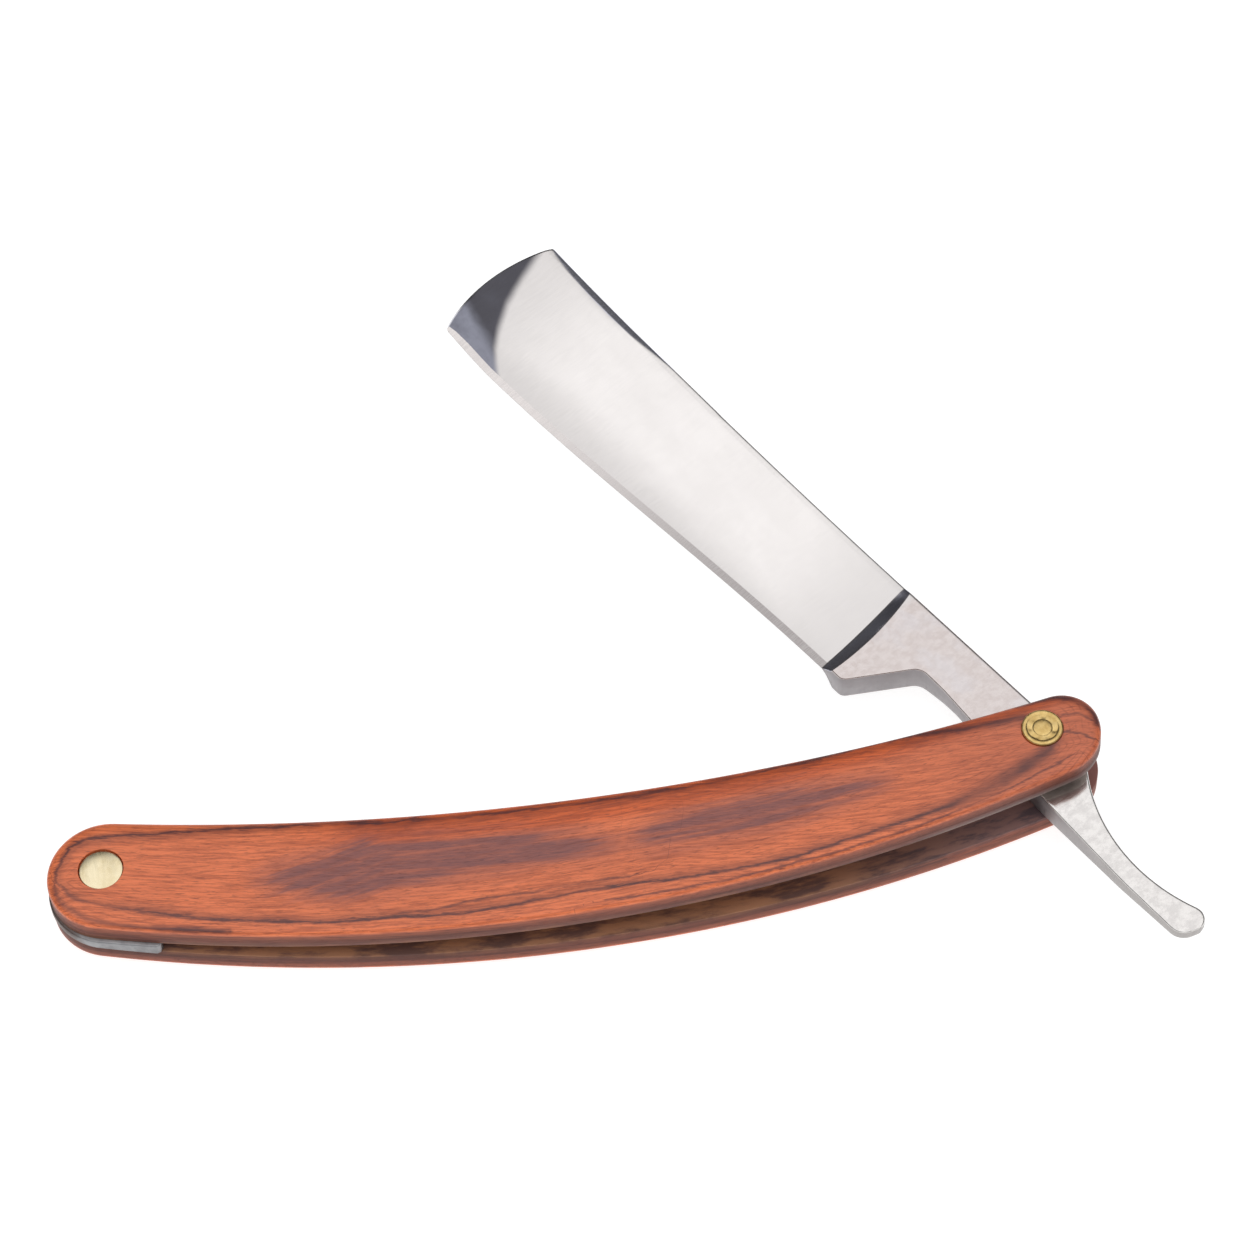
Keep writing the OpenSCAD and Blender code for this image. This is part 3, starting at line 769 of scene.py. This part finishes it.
class Net:
    """A node tree, with short ways to add to it."""

    def __init__(self, tree):
        self.tree = tree

    def put(self, socket, value):
        if isinstance(value, bpy.types.NodeSocket):
            self.tree.links.new(value, socket)
        elif isinstance(value, tuple) and len(value) == 3 and len(socket.default_value) == 4:
            socket.default_value = (*value, 1)
        else:
            socket.default_value = value

    def node(self, kind, inputs=None, **settings):
        n = self.tree.nodes.new("ShaderNode" + kind)
        for k, v in settings.items():
            setattr(n, k, v)
        for k, v in (inputs or {}).items():
            self.put(n.inputs[k], v)
        return n

    def math(self, op, a, b=0.0):
        return self.node("Math", {0: a, 1: b}, operation=op).outputs[0]

    def plus(self, a, b):
        return self.math("ADD", a, b)

    def minus(self, a, b):
        return self.math("SUBTRACT", a, b)

    def times(self, a, b):
        return self.math("MULTIPLY", a, b)

    def larger(self, a, b):
        return self.math("MAXIMUM", a, b)

    def swing(self, value, size):
        """A noise's value about its middle, times size."""
        return self.times(self.minus(value, 0.5), size)

    def mix(self, fac, a, b):
        n = self.node("Mix", data_type="RGBA")
        self.put(n.inputs[0], fac)
        self.put(n.inputs[6], a)
        self.put(n.inputs[7], b)
        return n.outputs[2]

    def attribute(self, name, kind="Fac"):
        return self.node("Attribute", attribute_name=name).outputs[kind]

    def object_point(self):
        return self.node("TexCoord").outputs["Object"]

    def separate(self, vector):
        return self.node("SeparateXYZ", {0: vector}).outputs

    def combine(self, x, y, z=0.0):
        return self.node("CombineXYZ", {0: x, 1: y, 2: z}).outputs[0]

    def noise(self, vector, scale, shift=(0, 0, 0), detail=3.0, rough=0.5, warp=0.0):
        """Noise over coordinates that are scaled by three factors and then shifted."""
        point = self.node("Mapping", {"Vector": vector, "Scale": scale, "Location": shift}).outputs[0]
        inputs = {"Vector": point, "Scale": 1.0, "Detail": detail, "Roughness": rough, "Distortion": warp}
        return self.node("TexNoise", inputs).outputs["Fac"]

    def step(self, value, low, high, out_low=0.0, out_high=1.0):
        """A smooth step from out_low, at low, to out_high, at high."""
        ends = {"From Min": low, "From Max": high, "To Min": out_low, "To Max": out_high}
        return self.node("MapRange", {"Value": value, **ends}, interpolation_type="SMOOTHSTEP").outputs[0]

    def ramp(self, value, low, high, a, b, share=1.0):
        """The colour a at low, b (or this share of it) at high, and a smooth step between."""
        return self.mix(self.step(value, low, high, 0.0, share), a, b)

    def bell(self, x):
        """1 where x is 0, falling away on both sides."""
        return self.math("EXPONENT", self.times(self.times(x, x), -1.0))

    def spike(self, value, centre, width):
        """1 where value is centre, falling away over width."""
        return self.bell(self.math("DIVIDE", self.minus(value, centre), width))

    def bump(self, height, strength, distance):
        return self.node("Bump", {"Height": height, "Strength": strength, "Distance": distance}).outputs[0]


class MaterialNet(Net):
    """The node tree of a new material."""

    def __init__(self, name):
        self.mat = bpy.data.materials.new(name)
        self.mat.use_nodes = True
        super().__init__(self.mat.node_tree)

    def finish(self, **inputs):
        """Sets the shader's inputs, and gives the material back."""
        bsdf = self.tree.nodes["Principled BSDF"]
        for k, v in inputs.items():
            self.put(bsdf.inputs[k.replace("_", " ")], v)
        return self.mat

    def metal(self, colour, rough, height, strength, distance):
        """Finishes a metal with a fine relief."""
        return self.finish(Base_Color=colour, Metallic=1.0, Roughness=rough,
                           Normal=self.bump(height, strength, distance))


def wood(name, shift, mirror):
    """Lacquered rosewood-like veneer: drawn growth lines, purple heartwood patches, fine fibre."""
    net = MaterialNet(name)
    grain = net.attribute("grain", "Vector")
    along, v, h = net.separate(grain)
    u = net.minus(-PIN_DISTANCE + 2, along) if mirror else along
    slow = net.noise(grain, (0.03, 0.16, 0.2), shift, detail=2.0, warp=0.4)
    wave = net.noise(grain, (0.16, 0.5, 0.3), shift, detail=4.0, rough=0.6)
    tipped = net.plus(v, net.times(net.larger(net.plus(u, 52.0), 0.0), 0.2))
    fibre = net.combine(u, tipped, h)
    fine = net.noise(fibre, (0.2, 3.0, 2.5), shift, detail=5.0, rough=0.65, warp=0.3)
    fleck = net.noise(fibre, (0.55, 5.5, 4.0), shift, rough=0.6)
    pores = net.step(net.noise(grain, (0.8, 7.5, 7.0), shift, detail=1.0), 0.62, 0.74)

    # the drawn lines wander a little, and come and go along their length
    drift = net.plus(net.plus(net.swing(wave, 1.3), net.swing(fleck, 0.9)), net.swing(fine, 0.5))
    fade = net.step(net.noise(grain, (0.12, 0.1, 0.1), shift, detail=2.0), 0.3, 0.55, 0.6, 1.0)
    near_nose = net.step(u, -22.0, -6.0)
    loop = net.plus(net.attribute("loop"), drift)
    wide = net.plus(0.34, net.times(near_nose, net.step(v, 1.0, -2.0, 0.25, 0.95)))
    line = net.bell(net.math("DIVIDE", loop, wide))
    soft = net.times(net.spike(loop, -0.35, 0.75), 0.42)
    broad = net.plus(net.attribute("broad"), net.times(drift, 0.7))
    thin = net.plus(net.attribute("thin"), net.times(drift, 0.8))
    outer = net.spike(broad, 0.0, 0.5)
    faint = net.times(net.spike(thin, 0.0, 0.22), 0.8)
    lines = net.times(net.larger(net.larger(line, soft), net.larger(outer, faint)), fade)
    rings = net.math("SINE", net.times(net.plus(net.attribute("loop"), net.times(slow, 5.0)), 6.5))
    rings = net.times(net.step(rings, 0.45, 1.0), net.step(wave, 0.4, 0.65))

    # purple heartwood: ragged along the fibre, drawn out slantwise at its left end
    slant = net.times(net.math("MINIMUM", net.plus(u, 90.0), 0.0), 0.36)
    drawn = net.combine(u, net.minus(v, slant), h)
    streak = net.noise(drawn, (0.05, 0.95, 0.8), shift, detail=4.0, rough=0.6)
    ragged = net.plus(net.swing(streak, 5.0), net.swing(fine, 2.2))
    reach = net.plus(net.attribute("heart"), ragged)
    heart = net.larger(net.step(reach, -1.2, 1.3), net.step(reach, -2.8, 0.6, 0.0, 0.55))
    smudge = net.times(net.spike(net.minus(u, net.times(fleck, 1.2)), -93.6, 0.9),
                       net.times(net.step(v, 6.4, 4.4), net.step(v, -5.0, -2.5)))
    heart = net.larger(heart, net.times(smudge, 0.55))
    heart = net.times(heart, net.step(streak, 0.3, 0.55, 0.7, 1.0))
    heart = net.times(heart, net.step(fleck, 0.2, 0.55, 0.75, 1.0))

    bright, mid = (0.90, 0.228, 0.086), (0.54, 0.126, 0.050)
    purple, dark = (0.192, 0.078, 0.082), (0.072, 0.029, 0.033)
    red, deep_red = (0.76, 0.138, 0.030), (0.43, 0.072, 0.018)
    dull, ring_brown, fleck_brown = (0.42, 0.122, 0.074), (0.22, 0.050, 0.028), (0.20, 0.045, 0.026)
    colour = net.ramp(fine, 0.3, 0.64, mid, bright)
    reddened = net.times(net.times(net.step(v, 3.2, 5.6), net.step(u, -106.0, -88.0)), 0.85)
    colour = net.mix(reddened, colour, net.ramp(fine, 0.32, 0.68, deep_red, red))
    colour = net.ramp(u, -30.0, 2.0, colour, dull, 0.45)
    colour = net.mix(net.times(heart, 0.88), colour, purple)
    colour = net.mix(net.times(rings, 0.32), colour, ring_brown)
    colour = net.ramp(fleck, 0.54, 0.70, colour, fleck_brown, 0.45)
    colour = net.mix(net.times(lines, 0.92), colour, dark)
    colour = net.mix(net.times(pores, 0.4), colour, dark)

    # the sides are duller and show the layers; their colour is darkened with painted shade
    side = net.attribute("side")
    layers = net.noise(grain, (0.03, 0.03, 2.2), shift, rough=0.6)
    edge = net.ramp(layers, 0.35, 0.62, (0.038, 0.0128, 0.012), (0.124, 0.039, 0.029))
    edge = net.ramp(fleck, 0.5, 0.7, edge, (0.042, 0.015, 0.0144), 0.4)
    colour = net.mix(net.times(side, net.minus(0.92, net.times(outer, 0.7))), colour, edge)

    # the inner faces are raw and blotched, and darker by the pivot; the front scale's is seen there only
    # as a reflection in the tang, and is painted pale grey there so that reflection looks lighter
    tone_mask = net.noise(grain, (0.12, 0.5, 0.3), shift, detail=5.0, rough=0.65)
    raw = net.ramp(tone_mask, 0.38, 0.6, (0.144, 0.073, 0.058), (0.41, 0.195, 0.104))
    raw_right = net.ramp(tone_mask, 0.4, 0.55, (0.115, 0.078, 0.086), (0.25, 0.138, 0.124))
    raw = net.ramp(along, -40.0, -5.0, raw, raw_right)
    raw = net.ramp(along, 0.0, 3.0, raw, (0.27, 0.112, 0.094))
    # a painted lightening of the front scale's inner face, for its reflection in the tang
    if not mirror:
        raw = net.ramp(along, -22.0, -14.0, raw, (0.46, 0.39, 0.36))
    colour = net.mix(net.attribute("inner"), colour, raw)

    rough = net.plus(net.step(fleck, 0.2, 0.8, 0.30, 0.42), net.times(side, 0.2))
    height = net.minus(net.times(fine, 0.5), net.times(pores, 0.6))
    coat = net.times(net.minus(1.0, side), net.step(v, 3.0, 6.5, 0.22, 0.12))
    return net.finish(Base_Color=colour, Roughness=rough, Normal=net.bump(height, 0.35, 0.00006),
                      Specular_IOR_Level=0.3, Coat_Weight=coat, Coat_Roughness=0.16)


def steel(name, kind):
    """Ground steel. kind is face, side or bevel."""
    net = MaterialNet(name)
    grain = net.attribute("grain", "Vector")
    u, n, z = net.separate(grain)
    cloud = net.noise(grain, (0.12, 0.2, 0.3), detail=4.0, rough=0.6)
    spots = net.noise(grain, (0.9, 0.7, 0.5), rough=0.65)
    lines = net.noise(grain, (7.0, 0.35, 0.4), rough=0.6)
    if kind == "side":
        colour = net.ramp(cloud, 0.3, 0.7, (0.29, 0.272, 0.280), (0.36, 0.342, 0.35))
        colour = net.ramp(lines, 0.35, 0.65, colour, (0.42, 0.40, 0.40), 0.22)
        colour = net.ramp(u, -2.0, -26.0, colour, (0.45, 0.43, 0.41), 0.7)
        return net.metal(colour, net.step(lines, 0.3, 0.7, 0.36, 0.5), lines, 0.3, 0.00004)
    if kind == "bevel":
        colour = net.ramp(u, 100.0, 45.0, (0.60, 0.57, 0.555), (0.31, 0.29, 0.285))
        colour = net.ramp(lines, 0.4, 0.7, colour, (0.58, 0.56, 0.55), 0.3)
        return net.metal(colour, net.step(lines, 0.3, 0.7, 0.22, 0.34), lines, 0.25, 0.00003)

    # the ground blade, a little darker at its ends and towards the edge, and the polished tail
    face = net.ramp(cloud, 0.3, 0.7, (0.645, 0.625, 0.61), (0.675, 0.655, 0.64))
    ends = net.larger(net.step(u, 52.0, 32.0), net.step(u, 90.0, 112.0))
    ends = net.larger(ends, net.step(n, 7.0, 15.0))
    face = net.mix(net.times(ends, 0.75), face, (0.515, 0.497, 0.487))
    tail = net.ramp(spots, 0.35, 0.65, (0.53, 0.515, 0.50), (0.63, 0.615, 0.595))
    face = net.ramp(u, 0.0, -8.0, face, tail)

    # the forged tang
    tang = net.times(net.step(u, 30.5, 29.0), net.step(u, -8.0, 2.0))
    plate = net.ramp(spots, 0.35, 0.65, (0.495, 0.445, 0.428), (0.545, 0.500, 0.485))
    plate = net.ramp(cloud, 0.5, 0.7, plate, (0.55, 0.535, 0.555), 0.4)
    colour = net.mix(tang, face, plate)

    # the toe shows a painted reflection of something dark, paler towards its edge, on the front face only
    front = net.step(z, -0.02, 0.02)
    toe = net.attribute("toe")
    painted_toe_reflection = net.times(net.step(net.plus(toe, net.times(cloud, 0.5)), -0.7, 1.3), front)
    patch = net.plus(n, net.times(net.minus(u, 114.0), 0.27))
    patch = net.plus(patch, net.swing(cloud, 3.0))
    # painted reflection colours: near black, turning blue-grey towards the edge
    inner = net.ramp(patch, 9.3, 11.6, (0.068, 0.067, 0.077), (0.215, 0.222, 0.265))
    inner = net.ramp(cloud, 0.45, 0.7, inner, (0.088, 0.088, 0.105), 0.5)
    colour = net.mix(painted_toe_reflection, colour, inner)

    # the spine's facet, the toe's rim and the shoulder's cove: painted reflection, highlight and shade
    facet = net.times(net.step(net.attribute("facet"), -0.08, 0.12), net.step(toe, 0.5, -1.5))
    # the ground facet's cool blue-grey tint is a painted reflection
    colour = net.mix(facet, colour, (0.60, 0.60, 0.68))
    centre = (float(TOE_C[0]), float(TOE_C[1]), 0.0)
    from_toe = net.node("VectorMath", {0: net.combine(u, n), 1: centre}, operation="DISTANCE")
    # painted highlight along the toe's eased rim
    rim = net.step(from_toe.outputs["Value"], TOE_R - 0.3, TOE_R - 0.1)
    colour = net.mix(net.times(net.times(rim, net.step(toe, 0.0, 2.0)), 0.8), colour, (0.75, 0.75, 0.78))
    # painted shade in the shoulder's cove, bluish, darkest by the spine
    hollow = net.ramp(n, -1.0, 4.0, (0.30, 0.30, 0.35), (0.44, 0.44, 0.51))
    colour = net.mix(net.attribute("cove"), colour, hollow)

    rough = net.plus(net.step(lines, 0.3, 0.7, 0.17, 0.23), net.step(u, 0.0, -6.0, 0.0, -0.05))
    height = net.plus(net.times(lines, 0.6), net.times(spots, 0.5))
    return net.metal(colour, rough, height, 0.12, 0.00002)


def metal(name, low, high, worn, rough, scale, bump, brown_from=None):
    """Brass, or the wedge's grey metal, with clouding, fine scratches and tarnish in its low places.
    brown_from is the x, in metres, beyond which it is brown."""
    net = MaterialNet(name)
    point = net.object_point()
    cloud = net.noise(point, (scale, scale, scale), detail=4.0, rough=0.6)
    streaky = (scale * 4, scale * 0.5, scale * 2)
    scratch = net.noise(point, streaky, rough=0.6, warp=0.3)
    colour = net.ramp(cloud, 0.3, 0.7, low, high)
    hollow = net.node("NewGeometry").outputs["Pointiness"]
    colour = net.ramp(hollow, 0.5, 0.44, colour, worn)
    if brown_from is not None:
        along = net.plus(net.separate(point)[0], net.times(cloud, 0.003))
        # the wedge turns brown towards its round end
        tone_mask = net.step(along, brown_from, brown_from - 0.003, 0.0, 0.85)
        colour = net.mix(tone_mask, colour, (0.11, 0.075, 0.062))
    shine = net.step(scratch, 0.3, 0.7, rough - 0.05, rough + 0.07)
    return net.metal(colour, shine, scratch, bump, 0.00004)


# === build

BROWN_END_X = -0.1288  # the wedge is brown from here to its round end, in metres

build_scale(True).data.materials.append(wood("wood_front", (0, 0, 0), False))
build_scale(False).data.materials.append(wood("wood_back", (5.3, 2.1, 1.7), True))

blade = build_blade()
for kind in ("face", "side", "bevel"):
    blade.data.materials.append(steel("steel_" + kind, kind))

brass = metal("brass_collar", (0.50, 0.345, 0.125), (0.66, 0.485, 0.205), (0.36, 0.24, 0.09), 0.3, 900, 0.5)
pale = metal("brass_rivet", (0.60, 0.51, 0.32), (0.69, 0.61, 0.42), (0.45, 0.32, 0.17), 0.22, 500, 0.25)
grey = metal("wedge_grey", (0.22, 0.22, 0.225), (0.36, 0.36, 0.37), (0.13, 0.12, 0.12), 0.42, 350, 0.5,
             BROWN_END_X)
for piece in (build_collar(True), build_collar(False), build_pin()):
    piece.data.materials.append(brass)
for piece in (build_rivet(True), build_rivet(False)):
    piece.data.materials.append(pale)
build_wedge().data.materials.append(grey)
for name in ("front_thrust_washer", "back_thrust_washer"):
    washer = frame["nodes"][name]
    washer.data.materials.clear()
    washer.data.materials.append(brass)


# === floor, light and camera

FLOOR_HALF, FLOOR_DROP = 3.0, 0.02  # half its width in metres, and how far below the rest face

# The photograph's camera, worked out from outlines in it: axes, place from the pivot in millimetres,
# focal length and picture width in pixels
CAMERA_FORWARD = Vector((0.04735384, 0.56442328, -0.82412619))
CAMERA_DOWN = Vector((-0.13582705, -0.81374988, -0.56512136))
CAMERA_PLACE = Vector((-82.918, -323.080, 517.574))
FOCAL_PX, PHOTO_PX = 4500, 1244
SENSOR = 36


def build_floor():
    """A pale sheet under the face that the razor lies on."""
    z = -REST_AXIS
    x = Vector((1, 0, 0)) - z * z.x
    x.normalize()
    y = z.cross(x)
    just_below = -FLOOR_DROP * MM * z
    me = bpy.data.meshes.new("floor")
    me.from_pydata([tuple(x * a * FLOOR_HALF + y * b * FLOOR_HALF + just_below)
                    for a, b in ((-1, -1), (1, -1), (1, 1), (-1, 1))], [], [(0, 1, 2, 3)])
    ob = add_object("floor", me)
    net = MaterialNet("floor_paper")
    tint = net.noise(net.object_point(), (6.0, 6.0, 6.0))
    me.materials.append(net.finish(
        Base_Color=net.mix(tint, (0.42, 0.42, 0.42), (0.44, 0.44, 0.44)), Roughness=0.9,
        Specular_IOR_Level=0.0, Emission_Color=(1, 1, 1), Emission_Strength=0.82))


def build_world():
    """A wide white ceiling, paler low down on the camera's side, and dark low down behind the razor."""
    world = bpy.data.worlds.new("studio")
    bpy.context.scene.world = world
    world.use_nodes = True
    net = Net(world.node_tree)
    _, y, z = net.separate(net.node("TexCoord").outputs["Generated"])
    ceiling = net.step(z, 0.64, 0.79, 0.0, 1.42)
    near = net.step(y, 0.25, -0.6, 0.0, 0.46)
    level = net.larger(net.larger(ceiling, near), 0.13)
    mix = net.node("CombineColor", {0: level, 1: net.times(level, 0.99), 2: level})
    background = net.tree.nodes["Background"]
    net.put(background.inputs["Color"], mix.outputs[0])
    net.put(background.inputs["Strength"], 1.0)


def build_camera():
    """The photograph's view: a long lens, looking down at about 55 degrees."""
    right = CAMERA_DOWN.cross(CAMERA_FORWARD)
    data = bpy.data.cameras.new("camera")
    data.sensor_width = SENSOR
    data.lens = SENSOR * FOCAL_PX / PHOTO_PX
    data.clip_start, data.clip_end = 0.01, 20
    cam = add_object("camera", data)
    m = Matrix((right, -CAMERA_DOWN, -CAMERA_FORWARD)).transposed().to_4x4()
    m.translation = (pivot + CAMERA_PLACE) * MM
    cam.matrix_world = m
    bpy.context.scene.camera = cam


build_floor()
build_world()
build_camera()
bpy.context.scene.view_settings.view_transform = "Standard"
